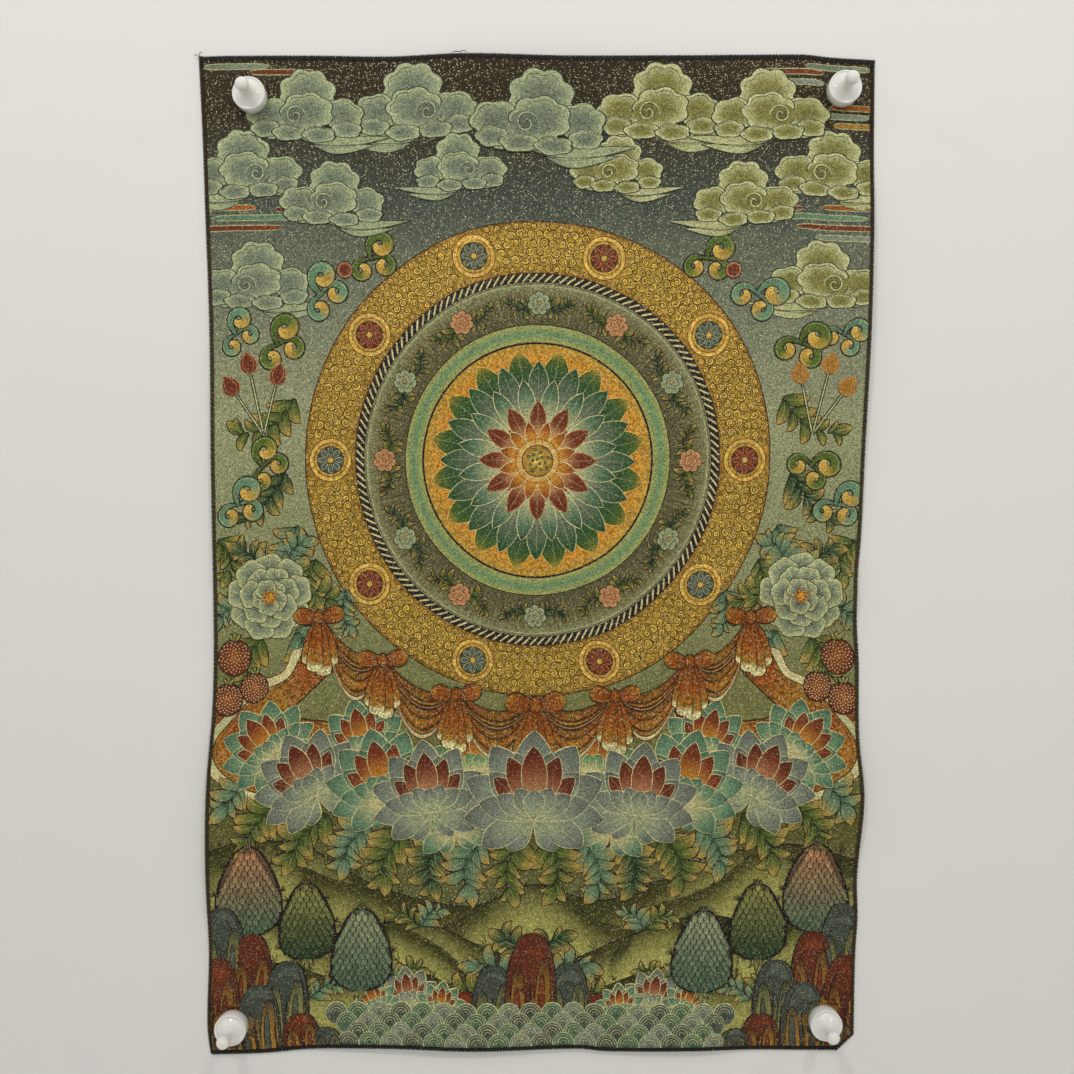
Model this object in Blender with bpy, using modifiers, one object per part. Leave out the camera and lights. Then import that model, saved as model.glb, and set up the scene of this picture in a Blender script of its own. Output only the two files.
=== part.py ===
"""Embroidered thangka: one brocade cloth pressed to a wall by four white push pins.

Metres, +Z up. The worked side of the cloth faces -Y and its back lies on the wall plane y = 0. The origin
is on the back, at the middle of the cloth's width and height, where the cloth lies flat.
"""

import math
from collections import namedtuple

import bmesh
import bpy
from mathutils import Vector

MM = 0.001

# Cloth, cut as a rectangle and pinned a little unevenly
CLOTH_WIDTH = 600 * MM
CLOTH_HEIGHT = 900 * MM
CLOTH_THICKNESS = 1.2 * MM
COLUMNS = 30
ROWS = 44
CORNER_CUT = 14.5 * MM

# Outline: how far the edge lies outside the cut rectangle, in mm, at places along it in mm from the middle
EdgePoint = namedtuple("EdgePoint", "along outside")
LEFT_EDGE = (
    EdgePoint(-455, -5.0),
    EdgePoint(-423, -1.5),
    EdgePoint(-350, -3.5),
    EdgePoint(-273, -2.0),
    EdgePoint(-200, -3.0),
    EdgePoint(-125, -8.5),
    EdgePoint(-50, -10.0),
    EdgePoint(90, -9.0),
    EdgePoint(200, -8.0),
    EdgePoint(310, -4.5),
    EdgePoint(380, -2.5),
    EdgePoint(450, 0.5),
)
RIGHT_EDGE = (
    EdgePoint(-446, -3.5),
    EdgePoint(-360, -3.5),
    EdgePoint(-324, -2.0),
    EdgePoint(-287, -3.5),
    EdgePoint(-213, 0.0),
    EdgePoint(-160, -4.5),
    EdgePoint(-90, -5.5),
    EdgePoint(-30, -9.5),
    EdgePoint(25, -6.0),
    EdgePoint(110, -4.5),
    EdgePoint(220, -2.0),
    EdgePoint(330, -1.0),
    EdgePoint(450, -2.0),
)
TOP_EDGE = (
    EdgePoint(-300, -0.5),
    EdgePoint(-270, 0.5),
    EdgePoint(-190, 1.0),
    EdgePoint(-130, 0.0),
    EdgePoint(-65, 2.5),
    EdgePoint(24, 0.5),
    EdgePoint(120, 2.0),
    EdgePoint(235, 4.5),
    EdgePoint(262, 2.0),
    EdgePoint(300, 0.0),
)
BOTTOM_EDGE = (
    EdgePoint(-300, 5.0),
    EdgePoint(-250, 3.0),
    EdgePoint(-205, -1.5),
    EdgePoint(-130, -4.0),
    EdgePoint(-50, -2.5),
    EdgePoint(45, -4.5),
    EdgePoint(68, -2.5),
    EdgePoint(150, -4.0),
    EdgePoint(250, -4.0),
    EdgePoint(300, -4.0),
)

# Where the cloth stands off the wall: soft mounds, with their centre, reach and height in mm
Fold = namedtuple("Fold", "place x z reach_x reach_z turn_deg height")
FOLDS = (
    Fold("right edge, upper", 305, 225, 62, 150, 0, 9.0),
    Fold("right edge, storage crease", 245, -22, 110, 22, -4, 6.5),
    Fold("right edge, lower", 305, -205, 70, 62, 0, 8.0),
    Fold("left edge, middle", -300, 70, 52, 140, 0, 5.0),
    Fold("left edge, lower", -302, -260, 62, 105, 0, 7.0),
    Fold("top edge, between the pins", 10, 455, 150, 48, 0, 6.5),
    Fold("bottom edge, left of middle", -75, -455, 115, 45, 0, 7.0),
    Fold("bottom edge, right of middle", 140, -452, 70, 38, 0, 5.5),
    Fold("belly, upper left", -110, 190, 130, 70, 20, 3.5),
    Fold("belly, lower right", 90, -230, 120, 75, -15, 3.5),
)
SLACK = 0.7 * MM  # the part of each mound that the wall presses flat

# Push pins: where each one's axis meets the wall, in mm
Pin = namedtuple("Pin", "place x z")
PINS = (
    Pin("top_left", -254, 414.5),
    Pin("top_right", 270, 423),
    Pin("bottom_left", -275, -427),
    Pin("bottom_right", 269, -418),
)
PIN_RADIUS = 14.5 * MM
PIN_BASE_HEIGHT = 11.5 * MM
PIN_FOOT_CHAMFER = 0.6 * MM
PIN_SHOULDER = 1.4 * MM
PIN_NECK_RADIUS = 3.9 * MM
PIN_NECK_HEIGHT = 25.5 * MM
PIN_BALL_RADIUS = 6.0 * MM
PIN_BALL_HEIGHT = 32.6 * MM
PIN_SIDES = 32
TOUCH_GAP = 0.3 * MM

# Flat places on the wall: round each pin, and round the middle of the back
PIN_FLAT_RADIUS = 44 * MM
PIN_FREE_RADIUS = 120 * MM
MIDDLE_FLAT_RADIUS = 50 * MM
MIDDLE_FREE_RADIUS = 130 * MM


def clear_scene():
    for thing in list(bpy.data.objects):
        bpy.data.objects.remove(thing, do_unlink=True)


def make_material(name, colour, roughness, metallic=0.0):
    material = bpy.data.materials.new(name)
    material.use_nodes = True
    shader = material.node_tree.nodes["Principled BSDF"]
    shader.inputs["Base Color"].default_value = (*colour, 1.0)
    shader.inputs["Roughness"].default_value = roughness
    shader.inputs["Metallic"].default_value = metallic
    material.diffuse_color = (*colour, 1.0)
    return material


def smooth_step(value, low, high):
    share = min(1.0, max(0.0, (value - low) / (high - low)))
    return share * share * (3 - 2 * share)


def outside_at(edge, along):
    """The edge's offset in metres at a place along it, on one smooth curve through its points."""
    places = [point.along * MM for point in edge]
    offsets = [point.outside * MM for point in edge]
    along = min(places[-1], max(places[0], along))
    index = 0
    while index < len(places) - 2 and along > places[index + 1]:
        index += 1

    def slope(i):
        before = max(0, i - 1)
        after = min(len(places) - 1, i + 1)
        return (offsets[after] - offsets[before]) / (places[after] - places[before])

    span = places[index + 1] - places[index]
    t = (along - places[index]) / span
    return (
        (2 * t**3 - 3 * t**2 + 1) * offsets[index]
        + (t**3 - 2 * t**2 + t) * span * slope(index)
        + (3 * t**2 - 2 * t**3) * offsets[index + 1]
        + (t**3 - t**2) * span * slope(index + 1)
    )


def outline_point(across, up):
    """The place on the wall of a point of the cloth, given as shares from -1 to 1 of its half sizes."""
    flat_x = across * CLOTH_WIDTH / 2
    flat_z = up * CLOTH_HEIGHT / 2
    right = outside_at(RIGHT_EDGE, flat_z)
    left = outside_at(LEFT_EDGE, flat_z)
    top = outside_at(TOP_EDGE, flat_x)
    bottom = outside_at(BOTTOM_EDGE, flat_x)
    x = flat_x + right * (1 + across) / 2 - left * (1 - across) / 2
    z = flat_z + top * (1 + up) / 2 - bottom * (1 - up) / 2
    return x, z


def lift_at(x, z):
    """How far the cloth's back stands off the wall: the folds, pressed flat where the wall stops them."""
    total = 0.0
    for fold in FOLDS:
        turn = math.radians(fold.turn_deg)
        from_x = x - fold.x * MM
        from_z = z - fold.z * MM
        along = (from_x * math.cos(turn) + from_z * math.sin(turn)) / (fold.reach_x * MM)
        across = (from_z * math.cos(turn) - from_x * math.sin(turn)) / (fold.reach_z * MM)
        total += fold.height * MM * math.exp(-(along**2) - across**2)
    lift = max(0.0, total - SLACK)
    for pin in PINS:
        distance = math.hypot(x - pin.x * MM, z - pin.z * MM)
        lift *= smooth_step(distance, PIN_FLAT_RADIUS, PIN_FREE_RADIUS)
    return lift * smooth_step(math.hypot(x, z), MIDDLE_FLAT_RADIUS, MIDDLE_FREE_RADIUS)


def make_cloth(parts):
    """One sheet: its back follows the wall and the folds, and its thickness goes towards the room."""
    grid = bmesh.new()
    bmesh.ops.create_grid(grid, x_segments=COLUMNS, y_segments=ROWS, size=1.0)
    for vertex in grid.verts:
        x, z = outline_point(vertex.co.x, vertex.co.y)
        vertex.co = Vector((x, -lift_at(x, z), z))
    corner_x, corner_z = outline_point(1.0, -1.0)
    bmesh.ops.bisect_plane(
        grid,
        geom=grid.verts[:] + grid.edges[:] + grid.faces[:],
        plane_co=(corner_x - CORNER_CUT / 2, 0, corner_z + CORNER_CUT / 2),
        plane_no=(1, 0, -1),
        clear_outer=True,
    )
    bmesh.ops.recalc_face_normals(grid, faces=grid.faces[:])
    if sum(face.normal.y for face in grid.faces) > 0:
        bmesh.ops.reverse_faces(grid, faces=grid.faces[:])
    mesh = bpy.data.meshes.new("cloth")
    grid.to_mesh(mesh)
    grid.free()
    mesh.shade_smooth()
    mesh.materials.append(make_material("brocade", (0.17, 0.16, 0.07), 0.7))
    cloth = bpy.data.objects.new("cloth", mesh)
    parts.objects.link(cloth)
    thickness = cloth.modifiers.new("thickness", "SOLIDIFY")
    thickness.thickness = CLOTH_THICKNESS
    thickness.offset = 1.0
    return cloth


def pin_profile():
    """Radius and height of a push pin's outer side, from the top of its ball down to its foot."""
    points = []
    neck_angle = math.asin(PIN_NECK_RADIUS / PIN_BALL_RADIUS)
    ball_steps = 8
    for step in range(ball_steps + 1):
        angle = (math.pi - neck_angle) * step / ball_steps
        radius = PIN_BALL_RADIUS * math.sin(angle)
        points.append((radius, PIN_BALL_HEIGHT + PIN_BALL_RADIUS * math.cos(angle)))
    shoulder_radius = PIN_RADIUS - PIN_SHOULDER
    shoulder_height = PIN_BASE_HEIGHT + PIN_SHOULDER * 0.35
    cone_steps = 5
    for step in range(cone_steps + 1):
        share = step / cone_steps
        radius = PIN_NECK_RADIUS + (shoulder_radius - PIN_NECK_RADIUS) * share**1.6
        height = PIN_NECK_HEIGHT + (shoulder_height - PIN_NECK_HEIGHT) * share**0.85
        points.append((radius, height))
    for angle_deg in (60, 25, 0):
        angle = math.radians(angle_deg)
        radius = shoulder_radius + PIN_SHOULDER * math.cos(angle)
        points.append((radius, PIN_BASE_HEIGHT - PIN_SHOULDER * (1 - math.sin(angle))))
    points.append((PIN_RADIUS, PIN_FOOT_CHAMFER))
    points.append((PIN_RADIUS - PIN_FOOT_CHAMFER, 0.0))
    points.append((0.0, 0.0))
    return points


def make_pins(parts):
    """Four turned push pins, each with its foot on the cloth and its ball towards the room."""
    points = pin_profile()
    mesh = bpy.data.meshes.new("pin")
    edges = [(index, index + 1) for index in range(len(points) - 1)]
    mesh.from_pydata([(radius, 0.0, height) for radius, height in points], edges, [])
    mesh.materials.append(make_material("white_plastic", (0.86, 0.86, 0.84), 0.25))
    for pin in PINS:
        body = bpy.data.objects.new("pin_" + pin.place, mesh)
        body.location = (pin.x * MM, -CLOTH_THICKNESS - TOUCH_GAP, pin.z * MM)
        body.rotation_euler = (math.pi / 2, 0.0, 0.0)
        parts.objects.link(body)
        turn = body.modifiers.new("turned", "SCREW")
        turn.steps = PIN_SIDES
        turn.render_steps = PIN_SIDES
        turn.use_merge_vertices = True
        turn.merge_threshold = 0.00001
        turn.use_smooth_shade = True


def main():
    clear_scene()
    parts = bpy.data.collections.new("embroidered_thangka")
    bpy.context.scene.collection.children.link(parts)
    make_cloth(parts)
    make_pins(parts)


main()
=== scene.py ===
"""Looks of the embroidered thangka: a brocade cloth pressed to a pale wall by four white push pins.

Motifs are laid out in cloth millimetres, across and up from the middle, with a height above the face.
One function carries them onto the hanging cloth, so they follow its uneven edges and its folds.
"""

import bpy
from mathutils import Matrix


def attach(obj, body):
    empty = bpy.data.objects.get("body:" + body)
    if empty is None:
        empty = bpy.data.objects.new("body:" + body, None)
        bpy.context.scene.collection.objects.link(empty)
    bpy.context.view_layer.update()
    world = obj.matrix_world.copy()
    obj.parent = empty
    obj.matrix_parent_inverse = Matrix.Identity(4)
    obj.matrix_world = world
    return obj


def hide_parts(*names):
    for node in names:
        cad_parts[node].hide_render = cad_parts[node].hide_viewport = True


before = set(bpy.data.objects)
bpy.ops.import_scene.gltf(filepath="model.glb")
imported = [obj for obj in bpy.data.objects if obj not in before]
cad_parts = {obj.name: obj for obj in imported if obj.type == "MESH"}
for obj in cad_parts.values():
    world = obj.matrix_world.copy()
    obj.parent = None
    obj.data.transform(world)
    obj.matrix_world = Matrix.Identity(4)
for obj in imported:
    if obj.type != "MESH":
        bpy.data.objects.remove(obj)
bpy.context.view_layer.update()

from collections import namedtuple
from math import asin, copysign, cos, pi, radians, sin, sqrt

import bmesh
import bpy
import numpy as np
from mathutils import Matrix, Vector

MM = 0.001
chance = np.random.default_rng(17)
vary = chance.uniform

# Cloth, with the outline and the folds of the solid
HALF_WIDTH = 300
HALF_HEIGHT = 450
THICKNESS = 1.0
CORNER_CUT = 14.5
LEFT_EDGE = (
    (-455, -5.0), (-423, -1.5), (-350, -3.5), (-273, -2.0), (-200, -3.0), (-125, -8.5),
    (-50, -10.0), (90, -9.0), (200, -8.0), (310, -4.5), (380, -2.5), (450, 0.5),
)
RIGHT_EDGE = (
    (-446, -3.5), (-360, -3.5), (-324, -2.0), (-287, -3.5), (-213, 0.0), (-160, -4.5),
    (-90, -5.5), (-30, -9.5), (25, -6.0), (110, -4.5), (220, -2.0), (330, -1.0), (450, -2.0),
)
TOP_EDGE = (
    (-300, -0.5), (-270, 0.5), (-190, 1.0), (-130, 0.0), (-65, 2.5), (24, 0.5),
    (120, 2.0), (235, 4.5), (262, 2.0), (300, 0.0),
)
BOTTOM_EDGE = (
    (-300, 5.0), (-250, 3.0), (-205, -1.5), (-130, -4.0), (-50, -2.5), (45, -4.5),
    (68, -2.5), (150, -4.0), (250, -4.0), (300, -4.0),
)
Fold = namedtuple("Fold", "x z reach_x reach_z turn_deg height")
FOLDS = (
    Fold(305, 225, 62, 150, 0, 9.0),
    Fold(245, -22, 110, 22, -4, 6.5),
    Fold(305, -205, 70, 62, 0, 8.0),
    Fold(-300, 70, 52, 140, 0, 5.0),
    Fold(-302, -260, 62, 105, 0, 7.0),
    Fold(10, 455, 150, 48, 0, 6.5),
    Fold(-75, -455, 115, 45, 0, 7.0),
    Fold(140, -452, 70, 38, 0, 5.5),
    Fold(-110, 190, 130, 70, 20, 3.5),
    Fold(90, -230, 120, 75, -15, 3.5),
)
SLACK = 0.7
BACK_GAP = 0.02
CLOTH_GRID = (150, 225)
PINS = {
    "top_left": (-254, 414.5),
    "top_right": (270, 423),
    "bottom_left": (-275, -427),
    "bottom_right": (269, -418),
}
PIN_FLAT, PIN_FREE = 44, 120
MIDDLE_FLAT, MIDDLE_FREE = 50, 130
PRESSED, PRESS_NEAR, PRESS_FAR = 0.2, 15, 20

# Heights of the needlework above the face, how far inside the edge it ends, and thread radii, in mm
LAYER = 0.06
DOME = 0.035
CORD = 0.03
SKIRT = 0.8
SUNK = -0.05
HAIR = 0.002
SIDE_CLEAR, END_CLEAR, CUT_CLEAR = 3.0, 4.2, 5
MERGE = 0.002
OVERLOCK_THREAD, TAIL_THREAD = 0.62, 0.35
OVERLOCK_SIDE, OVERLOCK_END = 3.7, 4.6
TUBE_SIDES = 5
GOLDEN_ANGLE = 137.5


def dye(red, green, blue):
    """The light that a thread sends back, for its colour on the wall from 0 to 255."""
    seen = ((np.array([red, green, blue]) / 255 + 0.055) / 1.055) ** 2.4
    return np.maximum(seen * 1.19 - 0.012, 0.004)


INK = dye(36, 32, 20)
UMBER = dye(60, 48, 30)
HATCH = dye(104, 101, 68)
CREAM = dye(198, 190, 138)
PALE = dye(168, 170, 124)
SAGE = dye(136, 143, 110)
MIST = dye(108, 118, 98)
SLATE = dye(76, 84, 74)
STEEL = dye(118, 126, 112)
TEAL = dye(90, 122, 94)
JADE = dye(104, 138, 92)
LIME = dye(150, 148, 82)
OLIVE = dye(104, 102, 48)
MOSS = dye(58, 58, 22)
FERN = dye(74, 92, 38)
PINE = dye(42, 66, 42)
GOLD = dye(168, 134, 56)
TIP = dye(152, 128, 64)
BRIGHT_GOLD = dye(204, 170, 84)
OCHRE = dye(148, 108, 44)
AMBER = dye(188, 130, 46)
RUST = dye(140, 78, 32)
BRICK = dye(104, 50, 20)
MAROON = dye(98, 46, 20)
ROSE = dye(172, 122, 84)


def smooth_step(value, low, high):
    share = np.clip((value - low) / (high - low), 0, 1)
    return share * share * (3 - 2 * share)


def hermite(t, start, end, start_slope, end_slope, span=1):
    """One smooth piece of a curve, between two points with their slopes."""
    return (
        (2 * t**3 - 3 * t**2 + 1) * start
        + (t**3 - 2 * t**2 + t) * span * start_slope
        + (3 * t**2 - 2 * t**3) * end
        + (t**3 - t**2) * span * end_slope
    )


def edge_offset(edge, along):
    """How far an edge lies outside the cut rectangle, on one smooth curve through its points."""
    places, offsets = np.array(edge, float).T
    slopes = np.empty_like(offsets)
    slopes[1:-1] = (offsets[2:] - offsets[:-2]) / (places[2:] - places[:-2])
    slopes[0] = (offsets[1] - offsets[0]) / (places[1] - places[0])
    slopes[-1] = (offsets[-1] - offsets[-2]) / (places[-1] - places[-2])
    along = np.clip(along, places[0], places[-1])
    i = np.clip(np.searchsorted(places, along) - 1, 0, len(places) - 2)
    span = places[i + 1] - places[i]
    return hermite((along - places[i]) / span, offsets[i], offsets[i + 1], slopes[i], slopes[i + 1], span)


def outline(across, up):
    """The place on the wall, in mm, of points of the flat cloth."""
    right, left = edge_offset(RIGHT_EDGE, up), edge_offset(LEFT_EDGE, up)
    top, bottom = edge_offset(TOP_EDGE, across), edge_offset(BOTTOM_EDGE, across)
    u, v = across / HALF_WIDTH, up / HALF_HEIGHT
    x = across + right * (1 + u) / 2 - left * (1 - u) / 2
    z = up + top * (1 + v) / 2 - bottom * (1 - v) / 2
    return x, z


def lift(x, z):
    """How far the back of the cloth stands off the wall, in mm."""
    total = 0.0
    for fold in FOLDS:
        turn = radians(fold.turn_deg)
        along = ((x - fold.x) * cos(turn) + (z - fold.z) * sin(turn)) / fold.reach_x
        across = ((z - fold.z) * cos(turn) - (x - fold.x) * sin(turn)) / fold.reach_z
        total = total + fold.height * np.exp(-(along**2) - across**2)
    height = np.maximum(0, total - SLACK)
    for pin_x, pin_z in PINS.values():
        height = height * smooth_step(np.hypot(x - pin_x, z - pin_z), PIN_FLAT, PIN_FREE)
    return height * smooth_step(np.hypot(x, z), MIDDLE_FLAT, MIDDLE_FREE)


def on_cloth(across, up, height):
    """World points of the needlework, which is pressed flat under the push pins."""
    x, z = outline(across, up)
    for pin_x, pin_z in PINS.values():
        near = smooth_step(np.hypot(x - pin_x, z - pin_z), PRESS_NEAR, PRESS_FAR)
        height = height * (PRESSED + (1 - PRESSED) * near)
    return np.stack([x, -(lift(x, z) + THICKNESS + height), z], axis=-1) * MM


def cut_off(mesh, place, outward):
    """Removes what lies outward of a plane."""
    everything = mesh.verts[:] + mesh.edges[:] + mesh.faces[:]
    bmesh.ops.bisect_plane(mesh, geom=everything, plane_co=place, plane_no=outward, clear_outer=True)


def placed(name, data):
    """A new object in the scene."""
    thing = bpy.data.objects.new(name, data)
    bpy.context.scene.collection.objects.link(thing)
    return thing


# Needlework

def mixed(stops, t):
    """Colours along t from (place, colour) stops."""
    places = [stop[0] for stop in stops]
    return np.stack([np.interp(t, places, [stop[1][k] for stop in stops]) for k in range(3)], axis=-1)


def fade(*colours):
    """Stops for colours that follow each other evenly."""
    return list(zip(np.linspace(0, 1, len(colours)), colours))


class Needlework:
    """Motifs that become one mesh."""

    def __init__(self, name):
        self.name = name
        self.points, self.faces, self.tints, self.count, self.areas = [], [], [], 0, 0

    def level(self, layer):
        """The height of a layer. No two areas in a row lie in quite one plane."""
        self.areas += 1
        return layer * LAYER + self.areas % 9 * HAIR

    def grid(self, flat, height, colour, figured=0.0, edge=None, edge_columns=(), wrap=False):
        """Quads over flat places (rows, columns, 2), with a colour at each point and one for the edge."""
        rows, columns = flat.shape[:2]
        height = np.broadcast_to(height, (rows, columns))
        index = np.arange(rows * columns).reshape(rows, columns)
        if wrap:
            index = np.concatenate([index, index[:1]])
        corners = np.stack([index[:-1, :-1], index[1:, :-1], index[1:, 1:], index[:-1, 1:]], axis=-1)
        colour = np.broadcast_to(colour, (rows, columns, 3)).reshape(-1, 3)
        tint = np.concatenate([colour[corners], np.full(corners.shape + (1,), figured)], axis=-1)
        for column in edge_columns:
            tint[:, column, :, :3] = edge
            tint[:, column, :, 3] = 0
        self.points.append(np.concatenate([flat, height[..., None]], axis=-1).reshape(-1, 3))
        self.faces.append(corners.reshape(-1, 4) + self.count)
        self.tints.append(tint.reshape(-1, 4, 4))
        self.count += rows * columns

    def make(self, material, carry=on_cloth):
        """The finished piece. What is carried by the cloth is first cut off at the cloth's edge."""
        points, faces, tints = (np.concatenate(part) for part in (self.points, self.faces, self.tints))
        if carry:
            a, b, c, d = (points[faces[:, k]] for k in range(4))
            backward = np.cross(c - a, d - b)[:, 2] < 0
            faces[backward], tints[backward] = faces[backward][:, ::-1], tints[backward][:, ::-1]
        mesh = bpy.data.meshes.new(self.name)
        mesh.from_pydata(points.tolist(), [], faces.tolist())
        mesh.attributes.new("tint", "FLOAT_COLOR", "CORNER").data.foreach_set("color", tints.ravel())
        mesh.materials.append(material)
        tidy = bmesh.new()
        tidy.from_mesh(mesh)
        side, end = HALF_WIDTH - SIDE_CLEAR, HALF_HEIGHT - END_CLEAR
        corner = HALF_WIDTH + HALF_HEIGHT - CORNER_CUT - CUT_CLEAR
        cuts = ((1, 0, side), (-1, 0, side), (0, 1, end), (0, -1, end), (1, -1, corner))
        for across, up, far in cuts if carry else ():
            if (points @ (across, up, 0)).max() > far:
                place = Vector((across, up, 0)) * far / (across**2 + up**2)
                cut_off(tidy, place, (across, up, 0))
        bmesh.ops.remove_doubles(tidy, verts=tidy.verts[:], dist=MERGE if carry else MERGE * MM)
        tidy.to_mesh(mesh)
        tidy.free()
        if carry:
            flat = np.empty(len(mesh.vertices) * 3)
            mesh.vertices.foreach_get("co", flat)
            mesh.vertices.foreach_set("co", carry(*flat.reshape(-1, 3).T).ravel())
        mesh.shade_smooth()
        piece = placed(self.name, mesh)
        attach(piece, "root")
        return piece


def patch(work, left, right, stops, layer=1, edge=INK, rim_width=1.1, columns=3, figured=0.0,
          sides=None, closed=False):
    """A worked area between two lines, with a cord of edge thread on each and a slightly padded fill."""
    width = np.linalg.norm(right - left, axis=1)
    e = np.clip(rim_width / np.maximum(width, 0.01), 0, 0.42)
    inner = np.linspace(0, 1, columns + 1)
    shares = np.stack([0 * e, 0.4 * e, *(e + (1 - 2 * e) * s for s in inner), 1 - 0.4 * e, 1 + 0 * e],
                      axis=1)
    base = work.level(layer)
    rim = max(SUNK, base - SKIRT)
    fill = base + np.outer(np.clip(width / 10, 0.1, 1), DOME * (1 - (2 * inner - 1) ** 2))
    flank = np.full((len(width), 1), base + CORD)
    height = np.hstack([flank * 0 + rim, flank, fill, flank, flank * 0 + rim])
    flat = left[:, None] * (1 - shares[..., None]) + right[:, None] * shares[..., None]
    colour = mixed(stops, np.linspace(0, 1, len(width)))[:, None].repeat(shares.shape[1], axis=1)
    # Painted shade: with sides given, the fill blends towards that colour near both rims, so it darkens at
    # its edges for depth
    if sides is not None:
        share = np.clip(np.abs(2 * shares - 1), 0, 1)[..., None] ** 2
        colour = colour * (1 - share) + sides * share
    if not closed:
        flat = np.concatenate([flat[:1], flat, flat[-1:]])
        height = np.concatenate([height[:1] * 0 + rim, height, height[-1:] * 0 + rim])
        colour = np.concatenate([colour[:1], colour, colour[-1:]])
    last = shares.shape[1] - 2
    work.grid(flat, height, colour, figured, edge, (0, 1, last - 1, last), closed)


def blob(work, x, z, radius, stops, layer=1, edge=INK, rim_width=1.1, rings=3, figured=0.0,
         stretch=(1, 1), turn=0, sides=30):
    """A worked round shape, from its rim to its middle. The radius is one number, or one for each side."""
    radius = np.broadcast_to(radius, sides if np.ndim(radius) == 0 else len(radius)).astype(float)
    angle = np.linspace(0, 2 * pi, len(radius), endpoint=False)
    e = min(0.5, rim_width / radius.mean())
    inner = np.linspace(0, 1, rings + 1)
    shares = np.array([1, 1 - 0.4 * e, *(1 - e) * (1 - inner)])
    base = work.level(layer)
    height = np.array([max(SUNK, base - SKIRT), base + CORD, *(base + DOME * (1 - (1 - inner) ** 2))])
    a = np.stack([np.cos(angle) * stretch[0], np.sin(angle) * stretch[1]], axis=-1) * radius[:, None]
    c, s = cos(radians(turn)), sin(radians(turn))
    a = a @ np.array([[c, -s], [s, c]])
    flat = a[:, None] * shares[None, :, None] + (x, z)
    colour = mixed(stops, np.array([0, 0, *inner]))[None]
    work.grid(flat, height[None], colour, figured, edge, (0, 1), True)


def normals_of(path):
    """Unit directions to the right of a path."""
    tangent = np.gradient(path, axis=0)
    tangent /= np.maximum(np.linalg.norm(tangent, axis=1, keepdims=True), 1e-9)
    return np.stack([tangent[:, 1], -tangent[:, 0]], axis=-1)


def line(work, path, width, colour, layer, taper=0.3, figured=0.0):
    """One couched thread."""
    path = np.asarray(path, float)
    t = np.linspace(0, 1, len(path))
    half = width / 2 * (taper + (1 - taper) * np.sin(pi * t) ** 0.5)[:, None]
    side = normals_of(path) * half
    flat = np.stack([path - side, path, path + side], axis=1)
    top = work.level(layer)
    work.grid(flat, np.array([[top - 0.15, top + CORD * 1.6, top - 0.15]]), colour, figured)


def circle(x, z, radius, steps, start=0, sweep=360):
    """Points on a circle, by degrees clockwise from its top."""
    angle = np.radians(start + np.linspace(0, sweep, steps, endpoint=abs(sweep) < 360))
    return np.stack([x + radius * np.sin(angle), z + radius * np.cos(angle)], axis=-1)


def spot(x, z, radius, angle):
    """One point on a circle, by degrees clockwise from its top."""
    return circle(x, z, radius, 1, angle)[0]


def ring(work, x, z, outer, inner, stops, edge=INK, figured=0.0):
    """A band between two circles, its colours running from the outer edge to the inner one."""
    steps, top = 300, LAYER
    share = np.linspace(0, 1, max(3, int((outer - inner) / 5)))
    out, into = circle(x, z, outer, steps)[:, None], circle(x, z, inner, steps)[:, None]
    spread = out + (into - out) * share[None, :, None]
    work.grid(spread, top, mixed(stops, share)[None], figured, wrap=True)
    for radius in (outer, inner):
        band = np.stack([circle(x, z, radius + w, steps) for w in (0.9, 0.3, -0.3, -0.9)], axis=1)
        work.grid(band, np.array([[SUNK, top + CORD, top + CORD, top - 0.1]]), edge, wrap=True)


def spiral(x, z, radius, turns, start, flip=1, steps=18):
    """A path that winds in to its middle."""
    t = np.linspace(0, 1, steps)
    angle = np.radians(start) + flip * 2 * pi * turns * t
    reach = radius * (1 - 0.88 * t**0.9)
    return np.stack([x + reach * np.sin(angle), z + reach * np.cos(angle)], axis=-1)


def frond(work, x, z, turn, length, width, stops, bend=0, power=1.0, belly=0.5, point=0.9, root=0.05,
          steps=12, vein=None, **style):
    """A petal, leaf or curl that starts at (x, z), heads turn degrees from straight up and bends."""
    t = np.sin(np.linspace(0, 0.5 * pi, steps)) ** 1.1
    heading = np.radians(turn + bend * t**power)
    middle = (heading[1:] + heading[:-1]) / 2
    stride = np.stack([np.sin(middle), np.cos(middle)], axis=-1) * np.diff(t)[:, None] * length
    axis = np.concatenate([[(0, 0)], np.cumsum(stride, axis=0)]) + (x, z)
    swell = root + (1 - root) * np.sin(0.5 * pi * np.clip(t / belly, 0, 1)) ** 0.9
    close = np.cos(0.5 * pi * np.clip((t - belly) / (1 - belly), 0, 1)) ** point
    half = (width / 2 * np.where(t < belly, swell, close))[:, None]
    side = np.stack([np.cos(heading), -np.sin(heading)], axis=-1) * half
    patch(work, axis - side, axis + side, list(zip(np.linspace(0, 1, steps), mixed(stops, t))), **style)
    if vein is not None:
        line(work, axis[1 : int(steps * 0.75)], 0.8, vein, style.get("layer", 1) + 0.9)
    return axis


def curve(points, steps=40):
    """A smooth path through a few points."""
    points = np.asarray(points, float)
    at = np.linspace(0, len(points) - 1, steps)
    i = np.clip(at.astype(int), 0, len(points) - 2)
    slope = np.gradient(points, axis=0)
    return hermite((at - i)[:, None], points[i], points[i + 1], slope[i], slope[i + 1])


def mirrored(points, side):
    """Points as they are for side 1, or mirrored across the middle for side -1."""
    return [(side * x, z) for x, z in points]


# Motifs

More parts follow.
